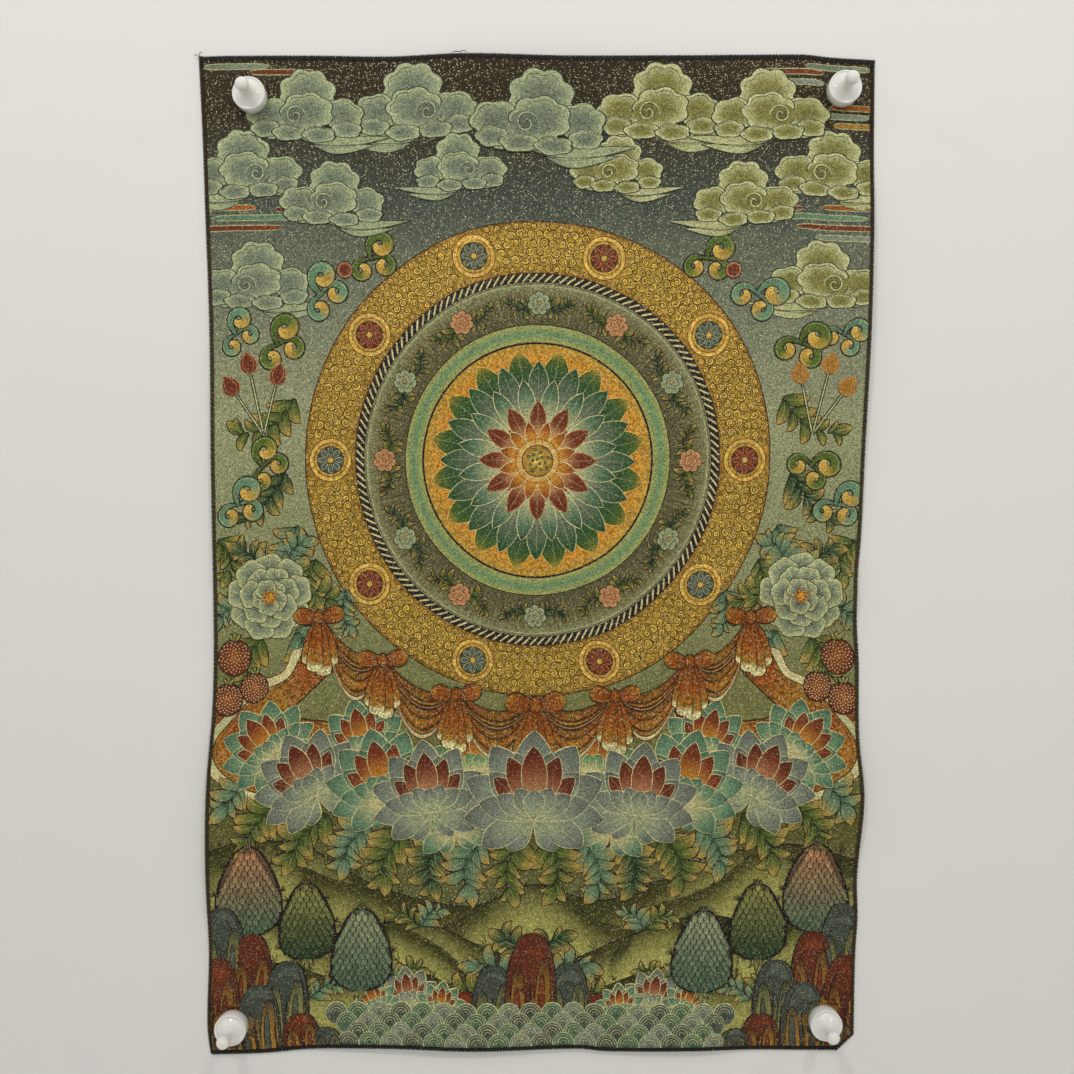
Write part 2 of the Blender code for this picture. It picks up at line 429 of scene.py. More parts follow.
def curl(work, x, z, turn, size, flip=1, tint=FERN, layer=2):
    """A fat comma scroll: a green stem, a gold coiled head and a pale thread inside."""
    stops = ((0, tint * 0.8), (0.35, tint), (0.6, tint * 1.2), (0.8, GOLD), (1, BRIGHT_GOLD))
    axis = frond(work, x, z, turn, size * 2.2, size * 0.46, stops, bend=flip * 400, power=1.7,
                 belly=0.82, point=0.5, root=0.4, steps=30, layer=layer, rim_width=1.3)
    inside = axis - normals_of(axis) * flip * size * 0.1
    line(work, inside[3:25], 0.8, PALE, layer + 0.9)


def curls(work, x, z, turn, size, tint, layer=2):
    """Three comma scrolls that spring from one root."""
    for lean, flip, share in ((-78, -1, 0.9), (70, 1, 0.92), (-8, 1, 1.1)):
        curl(work, x, z, turn + lean, size * share, flip, tint, layer)
        layer += 0.8


def cloud(work, x, z, size, shades, flip=1, layer=1):
    """A banked cloud: scalloped billows, one rolled hollow, and a drifting foot."""
    rim, body, deep = shades
    shadow = SLATE * 0.45

    def place(dx, dz):
        return x + dx * size * flip, z + dz * size

    for dx, dz, reach, thick in ((-8, -19, 84, 6), (-44, -13, 40, 5), (6, -26, 56, 5)):
        foot = curve([place(dx, dz), place(dx + reach * 0.4, dz - 4), place(dx + reach, dz + 1)], 14)
        half = np.sin(np.linspace(0.04, 3.1, 14))[:, None] ** 0.7 * thick * size * (0, 0.9)
        patch(work, foot - half, foot + half, fade(body, rim, rim), layer, edge=shadow, columns=2)
    around = np.linspace(0, 2 * pi, 56, endpoint=False)
    billows = ((3, 18, 24, 1.12, 0.98, 8, 20), (-32, 1, 19, 1.15, 0.82, 6, 75),
               (33, 1, 18, 1.15, 0.84, 6, 40), (-36, -11, 11, 1.3, 0.8, 5, 10),
               (37, -12, 11, 1.35, 0.75, 5, 50), (2, 3, 20, 1.25, 0.9, 7, 5),
               (-15, -15, 11, 1.5, 0.72, 5, 30), (12, -17, 11, 1.5, 0.7, 5, 0))
    for k, (dx, dz, radius, wide, tall, bumps, start) in enumerate(billows):
        scallop = radius * size * (0.88 + 0.15 * np.abs(np.sin(bumps * around / 2 + radians(start))))
        shade = ((0, rim * 1.25), (0.14, rim), (0.45, body), (1, body * 0.5 + deep * 0.5))
        blob(work, *place(dx, dz), scallop, shade, layer + 1 + k * 0.6, edge=shadow, rim_width=1.3,
             stretch=(wide, tall), rings=4)
    for k, (dx, dz, radius, wide, tall, bumps, start) in enumerate(billows):
        first = vary(0, 90)
        a = np.radians(np.linspace(first, first + vary(70, 130), 16))
        echo = radius * size * (0.7 + 0.12 * np.abs(np.sin(bumps * a / 2 + radians(start))))[:, None]
        path = np.stack([np.cos(a) * wide, np.sin(a) * tall], axis=-1) * echo + place(dx, dz)
        line(work, path, 1.2, shadow, layer + 2.1 + k * 0.6)
    hollow = ((0, body), (0.4, body * 0.5 + deep * 0.5), (1, deep * 0.9))
    blob(work, *place(-9, 0), 10.5 * size, hollow, layer + 6.6, edge=body, rim_width=0.3,
         stretch=(1.2, 0.9))
    line(work, spiral(*place(-9, 0), 10 * size, 1.5, 100 * flip, -flip, 24), 2.0, rim * 1.15, layer + 8)
    line(work, spiral(*place(-9, 0), 8.6 * size, 1.35, 100 * flip, -flip, 24), 1.2, shadow, layer + 7.8)


def acanthus(work, points, size, tint, layer=1, lobes=5, veins=True):
    """A feathery leaf: uneven hooked lobes with gold tips on both sides of a bent rib."""
    rib = curve(points, 34)
    heading = np.degrees(np.arctan2(*np.gradient(rib, axis=0).T))
    stops = ((0, tint * 0.35), (0.3, tint * 0.9), (0.6, tint * 0.7 + TIP * 0.3), (0.82, TIP),
             (1, TIP * 1.2))
    style = {"belly": 0.5, "point": 0.75, "root": 0.28, "steps": 11, "columns": 2, "rim_width": 1.2,
             "power": 1.4}
    for k in range(lobes):
        for side in (-1, 1):
            at = int(1 + 26 * (k + 0.25 * (side > 0)) / lobes)
            share = (1.1 - 0.5 * k / lobes) * size * vary(0.82, 1.18)
            frond(work, *rib[at], heading[at] + side * vary(12, 34), share, share * 0.5, stops,
                  bend=side * vary(55, 115), layer=layer + 0.6 * k + 0.3 * (side > 0),
                  vein=PALE if veins else None, **style)
    frond(work, *rib[23], heading[26], size * 0.8, size * 0.5, stops, layer=layer + 0.6 * lobes, bend=25,
          vein=PALE if veins else None, **style)


def leafy(work, side, table, layer, lobes=5):
    """Feathery leaves from a table of their points, sizes and colours."""
    for points, size, tint in table:
        acanthus(work, mirrored(points, side), size, tint, layer, lobes)


def lotus(work, x, z, turn, size, outer, heart, layer=2):
    """A lotus from the side: fans of petals, each fan in front of the one behind."""
    fans = (
        (0, 0, ((128, 26, 17), (104, 38, 19), (78, 46, 20), (52, 52, 23), (26, 56, 25), (0, 59, 27))),
        (1.2, 0, ((64, 38, 17), (38, 43, 19), (13, 46, 20))),
        (2.4, 1, ((38, 39, 15), (19, 45, 16), (0, 49, 18))),
        (3.7, 0, ((50, 29, 15), (25, 24, 15), (0, 20, 15))),
    )
    for base, hot, petals in fans:
        tip, root = (outer, heart)[hot]
        for step, (lean, length, width) in enumerate(petals):
            for side in (-1, 1) if lean else (1,):
                shade = vary(0.86, 1.14)
                level = layer + base + 0.5 * (step % 2 if base < 2 else step) + 0.25 * (side > 0)
                stops = ((0, root * 0.7), (0.25, root), (0.5, (root + tip) / 2), (0.75, tip * shade),
                         (0.92, tip * 0.7), (1, tip * 0.5))
                frond(work, x, z, turn + side * lean, length * size, width * size, stops,
                      bend=side * lean * 0.28, belly=0.62, point=0.7, layer=level, edge=CREAM,
                      rim_width=0.9, root=0.1, vein=PALE if (step % 2 or base == 3.7) and not hot else None)


def peony(work, x, z, size, layer=2):
    """An open peony: three rings of frilled petals round gold stamens."""
    bumps = np.linspace(0, 2 * pi, 30, endpoint=False)
    for row, (count, reach, radius) in enumerate(((9, 30, 17), (7, 19, 15), (5, 9, 12))):
        for k in range(count):
            angle = 360 / count * k + row * 23
            cx, cz = spot(x, z, reach * size, angle)
            frill = radius * size * (1 + 0.07 * np.cos(5 * bumps + k))
            blob(work, cx, cz, frill, ((0, PALE * 1.1), (0.3, SAGE), (0.7, MIST), (1, SLATE)),
                 layer + row * 2.4 + k % 3 * 0.6, edge=MOSS, rim_width=1.1, stretch=(1, 0.86), turn=angle)
            petal = spot(x, z, (reach + radius * 0.7) * size, angle)
            line(work, [(cx, cz), (np.array([cx, cz]) + petal) / 2, petal], 0.8, CREAM,
                 layer + row * 2.4 + 2.2)
    for k in range(16):
        tip = spot(x, z, (5 + 3 * (k % 2)) * size, k * 22.5)
        line(work, [(x, z), (np.array([x, z]) + tip) / 2, tip], 1.2, AMBER, layer + 9.4, 1.0, 0.6)
        blob(work, *tip, 1.1 * size + 0.3, fade(BRICK, AMBER), layer + 10, rim_width=0.2, rings=1, sides=8)


def bud(work, x, z, turn, stem, size, tint, layer=1):
    """A closed bud on a pale stem."""
    heading = np.array([sin(radians(turn)), cos(radians(turn))])
    top = np.array([x, z]) + heading * stem
    side = normals_of(np.array([[x, z], top]))[0] * 1.6
    run = np.linspace(0, 1, 6)[:, None]
    path = np.array([x, z]) * (1 - run) + top * run
    patch(work, path - side, path + side, fade(PALE, PALE), layer, columns=1, rim_width=1.0)
    for lean in (-52, 52):
        frond(work, *top, turn + lean, 11 * size, 6 * size, fade(PALE, SAGE), bend=-lean, layer=layer + 1)
    for lean, length in ((-26, 19), (26, 19), (0, 22)):
        frond(work, *top, turn + lean, length * size, 12 * size, fade(tint, tint), bend=-lean * 1.2,
              belly=0.4, layer=layer + 2 + (lean == 0) * 0.5, edge=ROSE, rim_width=0.9)


def fruit(work, x, z, size, layer=2):
    """A seeded fruit with a small crown."""
    blob(work, x, z, 17 * size, ((0, BRICK * 0.7), (0.4, BRICK), (1, RUST)), layer, stretch=(1, 1.08))
    for k in range(74):
        reach, angle = 15.4 * size * sqrt((k + 0.5) / 74), k * GOLDEN_ANGLE
        cx, cz = spot(x, z, reach, angle)
        blob(work, cx, cz, 0.9, fade(ROSE, CREAM), layer + 0.9, rim_width=0.1, rings=1, sides=6)
    for lean in (-34, 0, 34):
        frond(work, x, z + 15 * size, lean, 10 * size, 6 * size, fade(OLIVE, LIME), layer=layer + 1)


def streak(work, x, z, length, tint):
    """A long round-ended bar of coloured cloud."""
    height = 6
    t = np.linspace(-1, 1, 22)
    half = height / 2 * (1 - np.abs(t) ** 7) ** 0.5
    path = np.stack([x + t * length / 2, z + 0 * t], axis=-1)
    up = half[:, None] * (0, 1)
    patch(work, path - up, path + up, fade(tint * 0.8, tint, tint * 1.15), 1, columns=2,
          edge=PALE * 0.8, rim_width=1.0)


def tuft(work, x, z, lean, tall, layer):
    """Three short threads of grass."""
    for fan in (-34, -8, 24):
        heading = radians(lean + fan)
        tip = (x + tall * sin(heading), z + tall * cos(heading))
        line(work, [(x, z), ((x + tip[0]) / 2 + 0.7, (z + tip[1]) / 2), tip], 1.0, INK, layer, 0.5)


def hill(work, crest, light, dark, layer, deep, spurs):
    """A hill under a wavy crest, dark below the crest and each spur and lighter towards its foot."""
    line_up = curve(crest, 181)
    rows = np.array([0, 0.9, 1.6, *np.linspace(4, deep, 26)])
    flat = line_up[:, None] - rows[None, :, None] * (0, 1)
    height = np.array([[SUNK, layer * LAYER + CORD, *([layer * LAYER] * 27)]])
    wave = 0.1 * np.sin(line_up[:, 0] / 31 + layer * 2)[:, None]
    share = np.clip(rows[None] / deep + wave, 0, 1)
    lines = [line_up] + [curve(spur, 24) for spur in spurs]
    for path in lines[1:]:
        x, z = path[np.argsort(path[:, 0])].T
        below = np.interp(flat[..., 0], x, z, -1000, -1000) - flat[..., 1]
        share = np.where((below > 0) & (below < 300), np.minimum(share, below / deep * 1.3), share)
        line(work, path, 1.3, INK, layer + 0.8)
    shades = ((0, dark), (0.12, dark * 1.4), (0.3, light * 0.5 + dark * 0.5), (0.52, light),
              (1, light * 1.45))
    work.grid(flat, height, mixed(shades, share.ravel()).reshape(share.shape + (3,)), 0.35, INK, (0, 1))
    for path in lines:
        for k in range(3, len(path) - 3, 5):
            if chance.random() < 0.75:
                x, z = path[k] + chance.normal(0, 1.2, 2)
                tuft(work, x, z - 1, vary(-50, 50), vary(5, 10), layer + 1)


def tree(work, x, z, wide, tall, top_tint, low_tint, layer):
    """A bell-shaped crown of hanging leaf scales on a short trunk, with twigs at its sides."""
    bell = ((0, 0.2), (0.06, 0.64), (0.2, 0.96), (0.4, 1.0), (0.6, 0.87), (0.8, 0.62), (0.93, 0.38),
            (1, 0.08))

    def reach(up):
        return wide / 2 * edge_offset(bell, up)

    foot = z - tall / 2
    for lean, long in ((-16, 14), (14, 15), (0, 19)):
        frond(work, x, foot + 5, 180 + lean, long, 6.5, ((0, UMBER), (0.6, LIME * 0.7), (1, UMBER)),
              bend=lean * 2, belly=0.3, layer=layer, steps=8)
    up = 0.5 - 0.5 * np.cos(np.linspace(0, pi, 30))
    rib = np.stack([x + 0 * up, z + (up - 0.5) * tall], axis=-1)
    side = reach(up)[:, None] * (1, 0)
    patch(work, rib - side, rib + side, fade(low_tint * 0.3, top_tint * 0.4), layer + 1, rim_width=1.8,
          columns=5)
    rows = int(tall / 5.2)
    for row in range(rows):
        share = (row + 0.7) / rows
        half = float(reach(share)) - 3.6
        if half < 0.5:
            continue
        shade = top_tint * share**1.5 + low_tint * (1 - share**1.5)
        for k in range(-8, 9):
            cx = x + (k + 0.5 * (row % 2)) * 5.2
            if abs(cx - x) > half:
                continue
            lean = 180 - (cx - x) / wide * 50
            tone = shade * vary(0.8, 1.2)
            frond(work, cx, z + (share - 0.5) * tall * 0.97 + 3, lean, 8.4, 6.6,
                  ((0, tone * 0.4), (0.4, tone * 0.9), (0.85, tone * 1.2), (1, tone * 1.7)), belly=0.6,
                  point=0.45, root=0.8, steps=7, columns=2, layer=layer + 2 + row * 0.3, edge=INK,
                  rim_width=0.95)
    for flank in (rib - side, rib + side):
        line(work, flank, 1.7, INK, layer + 3 + rows * 0.3, 1.0)
        for k in (8, 14, 20):
            tuft(work, *flank[k], copysign(60, flank[k, 0] - x), 6, layer + 3 + rows * 0.3)
    for lean in (-34, 0, 34):
        frond(work, x, z + tall * 0.46, lean, 7, 3.4, fade(low_tint, top_tint),
              layer=layer + 3.5 + rows * 0.3, steps=6)


def crag(work, x, foot, wide, tall, tint, low, lean, layer):
    """A pillar of rock: nested arches over two hollows with an ochre foot, each round a lit core."""
    dark = ((0, low * 0.5), (0.4, tint * 0.5), (0.8, tint * 0.9), (1, tint * 0.7))
    light = ((0, low), (0.4, low * 0.7), (0.75, tint * 1.2), (1, tint * 1.35))
    hollow = ((0, low * 1.3), (0.4, low), (0.75, low * 0.6 + tint * 0.2), (1, tint * 0.4))
    core = ((0, low * 0.6), (0.35, tint * 0.8), (0.8, tint * 1.35), (1, tint * 0.9))
    parts = ((0, 1, 1, dark), (0.02, 0.82, 0.94, light), (-0.02, 0.68, 0.87, dark),
             (-0.2, 0.34, 0.72, hollow), (0.19, 0.35, 0.79, hollow), (-0.22, 0.17, 0.58, core),
             (0.17, 0.18, 0.64, core))
    for step, (shift, share, high, stops) in enumerate(parts):
        if step:
            share, high = share * vary(0.93, 1.1), high * vary(0.9, 1.03)
        frond(work, x + shift * wide, foot, lean + shift * 10, tall * high, wide * share, stops,
              bend=-lean * 1.6, belly=0.35, point=0.32, root=0.75, steps=16, rim_width=1.3,
              layer=layer + step * 0.5)
    for share, high, tone in ((-0.03, 0.62, INK), (0.03, 0.5, low * 0.8), (-0.38, 0.45, low * 0.7),
                              (0.38, 0.5, INK)):
        path = [(x + (share + 0.02 * sin(k * 2 + x)) * wide, foot + tall * high * k / 5) for k in range(6)]
        line(work, curve(path, 16), 1.3, tone, layer + 4.3, 0.2)


def wave(work, x, z, radius, tint, layer):
    """One scale of water: nested arcs."""
    blob(work, x, z, radius, fade(tint, tint * 0.6), layer, edge=PALE, rim_width=1.0, sides=26)
    for share, tone in ((0.74, PALE), (0.5, CREAM), (0.26, PALE)):
        line(work, circle(x, z, radius * share, 14, -88, 176), 1.0, tone, layer + 1, 1.0)


def rosette(work, x, z, size, tint, tip, layer):
    """A small round blossom in two gold rings."""
    blob(work, x, z, 20 * size, ((0, BRIGHT_GOLD), (0.3, GOLD), (1, GOLD)), layer, edge=RUST * 0.6,
         figured=0.7)
    blob(work, x, z, 16 * size, fade(GOLD, BRIGHT_GOLD), layer + 0.6, edge=RUST * 0.6, figured=0.7)
    blob(work, x, z, 13 * size, fade(tint * 0.7, tint), layer + 1.2, edge=UMBER, sides=28)
    for k in range(8):
        px, pz = spot(x, z, 3 * size, k * 45)
        frond(work, px, pz, k * 45, 9 * size, 5.4 * size, fade(tint, tint * 1.6), belly=0.6, point=0.6,
              steps=8, columns=2, layer=layer + 2, edge=tip, rim_width=0.7)
    blob(work, x, z, 3.4 * size, fade(GOLD, BRIGHT_GOLD), layer + 3, edge=UMBER, rim_width=0.7, sides=16)


def scarf(work, points, width, layer, flip=1):
    """A winding length of figured silk, with a pale lining on one side and cords along its folds."""
    path = curve(points, 130)
    side = normals_of(path)
    t = np.linspace(0, 1, len(path))
    half = width / 2 * (0.9 + 0.1 * np.sin(t * 23)) * np.minimum(1, 9 * np.minimum(t, 1 - t) + 0.2)
    half = side * half[:, None]
    pale = ((0, CREAM * 0.8), (0.2, CREAM), (0.5, PALE), (0.8, CREAM), (1, CREAM * 0.8))
    patch(work, path, path + half * 1.5 * flip, pale, layer, edge=BRICK, columns=4)
    line(work, path + half * 1.26 * flip, 0.9, ROSE, layer + 0.8)
    stops = ((0, BRICK), (0.15, RUST), (0.3, OCHRE), (0.45, RUST), (0.7, OCHRE), (1, BRICK))
    patch(work, path - half, path + half * 0.95, stops, layer + 1, edge=UMBER, rim_width=1.6, columns=6,
          figured=1.0)
    for share, tone in ((-0.68, UMBER), (-0.58, ROSE * 0.8), (0.66, UMBER), (0.56, ROSE * 0.8),
                        (0.08, BRICK * 0.7)):
        line(work, (path + half * share)[6:-6], 1.0, tone, layer + 2)


def swag(work, start, end, drop, deep, layer):
    """A hanging bunch of figured silk between two knots, with nested folds and a pale lining below."""
    t = np.linspace(0, 1, 34)[:, None]
    straight = np.array(start) * (1 - t) + np.array(end) * t
    hang = 4 * t * (1 - t) * (0, -1)
    full = np.sin(pi * t) ** 0.7 * (0, -1)

    def fold(share):
        return straight + hang * drop + full * deep * share + (0, 5) + full * 3 * sin(share * 9)

    patch(work, fold(0.8), fold(1.2), fade(CREAM * 0.7, CREAM, CREAM * 0.7), layer, edge=BRICK, columns=3)
    line(work, fold(1.12), 0.9, ROSE, layer + 0.8)
    parts = 6
    for k in range(parts):
        shade = (0.75, 1.1, 0.9)[k % 3]
        stops = ((0, BRICK), (0.2, RUST * shade), (0.5, OCHRE * shade), (0.8, RUST * shade), (1, BRICK))
        # Painted shade: sides darkens each fold towards its rims
        patch(work, fold(k / parts - 0.02), fold((k + 1) / parts), stops, layer + 1.5 + k * 0.5, edge=UMBER,
              rim_width=1.3, columns=3, figured=1.0, sides=BRICK * 0.8)
    for share in (0.9, 0.42):
        line(work, fold(share)[2:-2], 1.0, ROSE * 0.8, layer + 5.5)


def knot(work, x, z, size, layer):
    """A bow: two short loops tied in the middle, over a fan of hanging hems."""
    for step, (lean, length) in enumerate(((-26, 46), (24, 44), (-9, 54), (10, 50))):
        stops = ((0, RUST * 0.6), (0.5, RUST), (0.86, OCHRE), (0.9, CREAM), (1, CREAM))
        frond(work, x, z, 180 + lean, length * size, 17 * size, stops, bend=-lean, belly=0.92, point=0.4,
              root=0.3, layer=layer + step * 0.5, edge=UMBER, rim_width=1.3, figured=0.9, vein=BRICK)
    loop = ((0, BRICK * 0.6), (0.3, RUST * 0.8), (0.7, RUST), (1, OCHRE))
    for step, lean in enumerate((-96, 92)):
        axis = frond(work, x, z, lean, 24 * size, 17 * size, loop, bend=-lean * 0.35, belly=0.66,
                     point=0.45, root=0.3, layer=layer + 2.5 + step * 0.5, edge=UMBER, rim_width=1.4,
                     figured=0.9, columns=4)
        for share in (-2.2, 2.4):
            line(work, (axis + normals_of(axis) * share * size)[2:-5], 0.9, (BRICK * 0.6, ROSE * 0.8)[step],
                 layer + 3.8 + step * 0.5, 0.3)
    blob(work, x, z, 6.2 * size, fade(RUST * 0.8, RUST, OCHRE), layer + 5, figured=1.0,
         stretch=(0.85, 1.15))
    for share in (-1.6, 1.8):
        line(work, [(x + share, z - 5), (x + share * 0.5, z), (x + share, z + 5)], 0.9, BRICK * 0.6,
             layer + 6.2, 0.3)


# Pieces of the design: lotus roundel, clouds, vines, flowers, scarves, lotus bank, hills, crags and water

MIDDLE = (0, 92)
COOL, WARM = (SAGE * 1.15, MIST * 1.1, SLATE), (PALE * 0.92, LIME * 0.62, OLIVE * 0.6)


def roundel_ground(work):
    """The gold ring, a dark band, rays, a pale border and the glow behind the lotus."""
    outer, dark, rays, border, heart = 214, 168, 160, 122, 106
    deep_gold = GOLD * (0.8, 0.84, 0.8)
    ring(work, *MIDDLE, outer, dark,
         ((0, OCHRE * 0.85), (0.15, deep_gold), (0.85, deep_gold), (1, OCHRE * 0.85)), figured=0.9,
         edge=UMBER)
    ring(work, *MIDDLE, dark, rays, fade(INK * 1.5, INK * 1.5))
    ring(work, *MIDDLE, rays, border, ((0, PALE * 0.6), (0.3, HATCH * 0.95), (1, HATCH * 0.55)),
         figured=0.3)
    ring(work, *MIDDLE, border, heart, ((0, LIME), (0.25, JADE), (0.75, TEAL), (1, LIME)))
    glow = ((0, GOLD), (0.15, AMBER), (0.35, RUST), (1, BRICK))
    blob(work, *MIDDLE, heart, glow, 1, rings=16, figured=0.6, sides=96, rim_width=1.4)
    for k in range(150):
        path = [spot(*MIDDLE, r, k * 2.4 + (r - 162) * 0.35) for r in (160.2, 162.5, 165, 167.4)]
        line(work, path, 2.7, CREAM * 0.85, 2, 0.8)
    for radius, tone in ((158.6, INK), (156.8, PALE)):
        line(work, circle(*MIDDLE, radius, 121, 0, 359.9), 0.9, tone, 1.9, 1.0)
    for k in range(360):
        reach = 123 + 3 * (k % 4)
        path = [spot(*MIDDLE, r, k) for r in np.linspace(reach, 155, 7)]
        line(work, path, 0.8, (HATCH * 1.7, INK, HATCH * 0.6)[k % 3], 1.8, 0.4)


def roundel_scrolls(work):
    """Curls of gold cord with brown lines between them, packed without a gap."""
    rosettes = circle(*MIDDLE, 191, 10, 18)
    brown, gold = RUST * 0.26, BRIGHT_GOLD * (1.3, 1.36, 1.2)
    for k, radius in enumerate((172.2, 179.8, 187.4, 195, 202.6, 209.8)):
        count = int(2 * pi * radius / 8.4)
        for cx, cz in circle(*MIDDLE, radius, count, (k % 2) * 180 / count):
            if np.hypot(*(rosettes - (cx, cz)).T).min() < 22.5:
                continue
            cx, cz = (cx, cz) + chance.normal(0, 0.5, 2)
            size = vary(3.8, 5.4) if 175 < radius < 205 else vary(3.2, 4.0)
            start, flip, turns = vary(0, 360), chance.choice((-1, 1)), vary(1.1, 1.9)
            line(work, spiral(cx, cz, size, turns, start, flip, 15), 1.45, brown, 2.2, 0.6)
            line(work, spiral(cx, cz, size - 1.2, turns, start, flip, 15), 1.1, gold, 1.9, 0.6, 0.5)
    for k, (cx, cz) in enumerate(rosettes):
        rosette(work, cx, cz, 1.0, *((MAROON, ROSE), (SLATE * 0.8, PALE))[k % 2], 2.5)


def roundel_wreath(work):
    """Leaf pairs on the border, with a small blossom between them."""
    bent = ((141, 2), (136, 6), (141, 10), (148, 13))
    for k in range(12):
        for side in (-1, 1):
            start = k * 30
            points = [spot(*MIDDLE, r, start + side * a) for r, a in bent]
            acanthus(work, points, 13, (PINE * 1.3, FERN * 0.8)[k % 2], 2, 4, veins=False)
        cx, cz = spot(*MIDDLE, 141, start)
        for row, (count, reach, radius) in enumerate(((7, 6.5, 4.6), (5, 2.6, 3.6))):
            for px, pz in circle(cx, cz, reach, count, row * 20):
                tint = (SAGE, ROSE)[k % 2]
                blob(work, px, pz, radius, fade(tint * 1.2, tint, tint * 0.6), 6.5 + row * 1.4, edge=MOSS,
                     rim_width=0.8, sides=16)
        blob(work, cx, cz, 1.8, fade(RUST, BRIGHT_GOLD), 10, rim_width=0.4, rings=1, sides=10)


def roundel_petals(work):
    """Five rings of petals round a gold seed head."""
    rings = (
        (16, 46, 54, 26, 11.25, ((0, PINE), (0.6, PINE * 1.4), (0.85, FERN), (1, GOLD)), BRIGHT_GOLD, 2),
        (16, 38, 52, 20, 0, ((0, PALE), (0.35, MIST * 0.8), (0.85, PINE * 1.5), (1, PINE)), PALE, 3),
        (16, 26, 48, 17, 11.25, ((0, CREAM), (0.3, PALE * 0.9), (0.7, TEAL * 0.75), (1, PINE)), CREAM, 4),
        (12, 16, 38, 16, 0, ((0, AMBER), (0.3, ROSE), (0.55, BRICK), (1, MAROON)), ROSE, 5.5),
        (12, 8, 28, 12, 15, ((0, CREAM), (0.45, AMBER), (0.8, RUST), (1, BRICK)), CREAM, 7),
    )
    for count, root, length, width, start, stops, edge, layer in rings:
        for k in range(count):
            angle = start + 360 / count * k
            px, pz = spot(*MIDDLE, root, angle)
            frond(work, px, pz, angle, length, width, stops, belly=0.58, point=0.7, root=0.35, layer=layer,
                  edge=edge, rim_width=1.0, vein=PALE if layer < 6 else None, columns=4)
    blob(work, *MIDDLE, 15, ((0, OCHRE), (0.4, GOLD), (1, BRIGHT_GOLD)), 9, figured=0.7, rings=4)
    for k in range(40):
        path = [spot(*MIDDLE, r, k * 9) for r in (14, 17, 20)]
        line(work, path, 0.9, BRIGHT_GOLD, 8.6, 0.8, 0.5)
        blob(work, *path[2], 1.1, fade(RUST, AMBER), 9, rim_width=0.2, rings=1, sides=8)
    for k in range(15):
        cx, cz = spot(*MIDDLE, 11 * sqrt((k + 0.3) / 15), k * GOLDEN_ANGLE)
        blob(work, cx, cz, 1.8, fade(PINE, JADE), 10, edge=UMBER, rim_width=0.6, rings=1, sides=12)


def clouds(work):
    for side, shades in ((-1, COOL), (1, WARM)):
        for x, z, length, tint in ((268, 441, 60, MIST), (226, 436, 60, BRICK), (284, 318, 60, RUST),
                                   (248, 309, 96, TEAL), (272, 300, 84, BRICK), (216, 316, 44, MAROON)):
            streak(work, side * x, z, length, tint)
        for x, z, size, flip, layer in ((70, 350, 0.8, 1, 10), (258, 250, 0.95, -1, 1),
                                        (262, 348, 0.95, 1, 1.3), (108, 402, 1.05, 1, 1),
                                        (186, 322, 0.9, -1, 10), (208, 398, 1.0, -1, 10.3)):
            cloud(work, side * x, z, size, shades, side * flip, layer)
    for x, z, length, tint in ((236, 427, 40, STEEL), (283, 407, 44, RUST), (272, 399, 50, STEEL),
                               (284, 391, 40, OCHRE), (278, 291, 60, STEEL)):
        streak(work, x, z, length, tint)
    cloud(work, 0, 392, 1.15, (SAGE * 1.1, MIST, SLATE), 1, 19.5)


def vines(work):
    for side in (-1, 1):
        for x, z, turn, size, tint in ((152, 272, 10, 24, FERN), (198, 240, 40, 25, TEAL),
                                       (238, 196, 20, 25, FERN), (276, 206, 30, 21, TEAL),
                                       (252, 88, 40, 23, FERN), (276, 54, 10, 24, TEAL)):
            curls(work, side * x, z, side * turn, size, tint, 5.5)
        blob(work, side * 176, 262, 8, ((0, ROSE), (0.3, MAROON), (1, MAROON)), 9, sides=24)
        for lean, stem in ((-14, 46), (12, 56), (34, 44)):
            bud(work, side * 252, 116, side * lean, stem, 0.95, MAROON if side < 0 else OCHRE, 5.5)
        leafy(work, side, (
            (((222, 150), (240, 128), (268, 118), (290, 128)), 24, FERN),
            (((232, 84), (246, 62), (266, 44), (290, 40)), 24, PINE * 1.3),
            (((222, 36), (232, 12), (252, -4), (262, 20)), 24, TEAL),
            (((206, 4), (212, -20), (196, -44)), 22, FERN),
            (((176, -24), (180, -48), (166, -70)), 20, TEAL),
            (((296, 24), (284, 4), (290, -20)), 22, FERN),
        ), 1)


def flowers(work):
    for side in (-1, 1):
        leafy(work, side, (
            (((232, -36), (204, -30), (184, -44)), 26, FERN),
            (((250, -20), (262, 6), (284, 16)), 26, PINE * 1.3),
            (((262, -40), (286, -40), (300, -58)), 24, TEAL),
            (((226, -60), (206, -84), (186, -92)), 26, TEAL),
            (((256, -64), (270, -90), (262, -118)), 26, FERN),
            (((236, -10), (226, 12), (208, 20)), 24, TEAL),
        ), 1)
        peony(work, side * 248, -30, 0.9, 6)
        fruit(work, side * 281, -84, 0.95, 6)
        fruit(work, side * 262, -112, 0.8, 9)
        fruit(work, side * 286, -122, 0.85, 12)


def scarves(work):
    for side in (-1, 1):
        tail = ((130, -134), (176, -160), (226, -150), (268, -126), (304, -140))
        rise = ((196, -76), (222, -112), (262, -138), (282, -168), (256, -194), (222, -186))
        scarf(work, mirrored(tail, side), 30, 1, side)
        scarf(work, mirrored(rise, side), 34, 4, -side)
        knots = ((0, -130), (74, -121), (143, -90), (202, -50))
        for (ax, az), (bx, bz) in zip(knots[:-1], knots[1:]):
            swag(work, (side * ax, az), (side * bx, bz), 16, 40, 12)
    for side in (-1, 1):
        for x, z in ((74, -121), (143, -90), (202, -50)):
            knot(work, side * x, z, 1.0, 18.5)
    knot(work, 0, -130, 1.2, 18.5)


